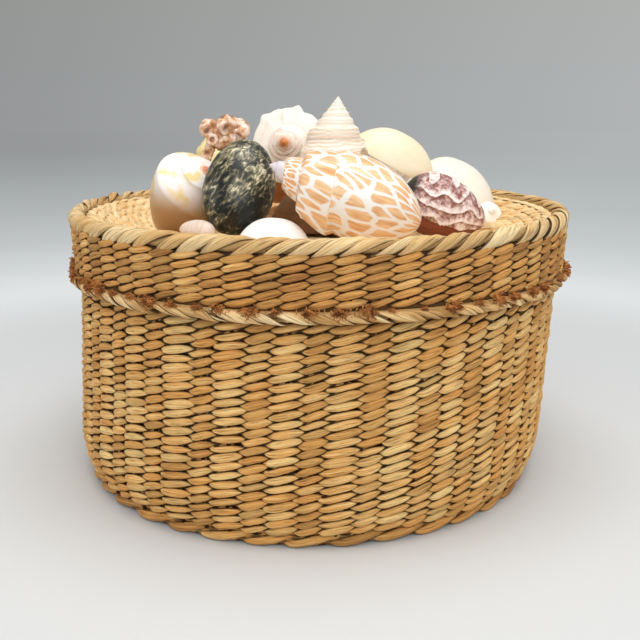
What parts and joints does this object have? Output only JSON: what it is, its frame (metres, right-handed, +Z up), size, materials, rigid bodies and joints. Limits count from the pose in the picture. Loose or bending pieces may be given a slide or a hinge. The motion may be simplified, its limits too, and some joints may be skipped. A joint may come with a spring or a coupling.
{
  "type": "lidded basket",
  "caption": "Round woven basket with a lift-off woven lid that carries a fixed heap of sea shells.",
  "frame": {"origin": "on the table, under the middle of the lid", "axes": "+Z up, -Y towards the viewer of the picture, +X to that viewer's right"},
  "size_m": [0.2168, 0.217, 0.159],
  "materials": {
    "straw": "matt twisted plant fibre",
    "pale_straw": "matt twisted plant fibre",
    "cut_straw": "matt cut ends",
    "white_shell": "polished shell",
    "pink_shell": "polished shell",
    "ivory_shell": "polished shell",
    "cream_shell": "polished shell",
    "patterned_shell": "polished shell",
    "dark_shell": "satin",
    "turret_shell": "polished shell",
    "yellow_shell": "polished shell",
    "purple_shell": "rough",
    "scallop_shell": "satin",
    "cowrie_shell": "polished shell",
    "turban_shell": "polished shell",
    "conch_shell": "polished shell",
    "spire_shell": "polished shell",
    "worm_tube": "satin"
  },
  "bodies": {
    "basket": {"basket_base": "straw", "basket_foot_rope": "straw", "basket_wall": "straw", "basket_rim_rope": "straw"},
    "lid": {"lid_top": "straw", "lid_edge_rope": "pale_straw", "lid_skirt": "straw", "lid_stake_ends": "cut_straw", "lid_lower_twist": "pale_straw", "small_white_valve": "white_shell", "small_pink_shell": "pink_shell", "small_cockle_valve": "ivory_shell", "large_clam_valve": "cream_shell", "babylon_shell": "patterned_shell", "dark_mottled_shell": "dark_shell", "inner_turret_shell": "turret_shell", "cream_snail_shell": "cream_shell", "speckled_yellow_shell": "yellow_shell", "purple_frilled_shell": "purple_shell", "white_clam_valve": "white_shell", "small_white_snail": "white_shell", "scallop_valve": "scallop_shell", "brown_cowrie": "cowrie_shell", "turban_shell": "turban_shell", "knobbed_conch": "conch_shell", "tall_spire_shell": "spire_shell", "ivory_clam_valve": "ivory_shell", "worm_tube_cluster": "worm_tube"}
  },
  "joints": [
    {"name": "lid_lift", "type": "slide", "parent": "basket", "child": "lid", "axis": [0, 0, 1], "range_m": [0, 0.12]}
  ]
}
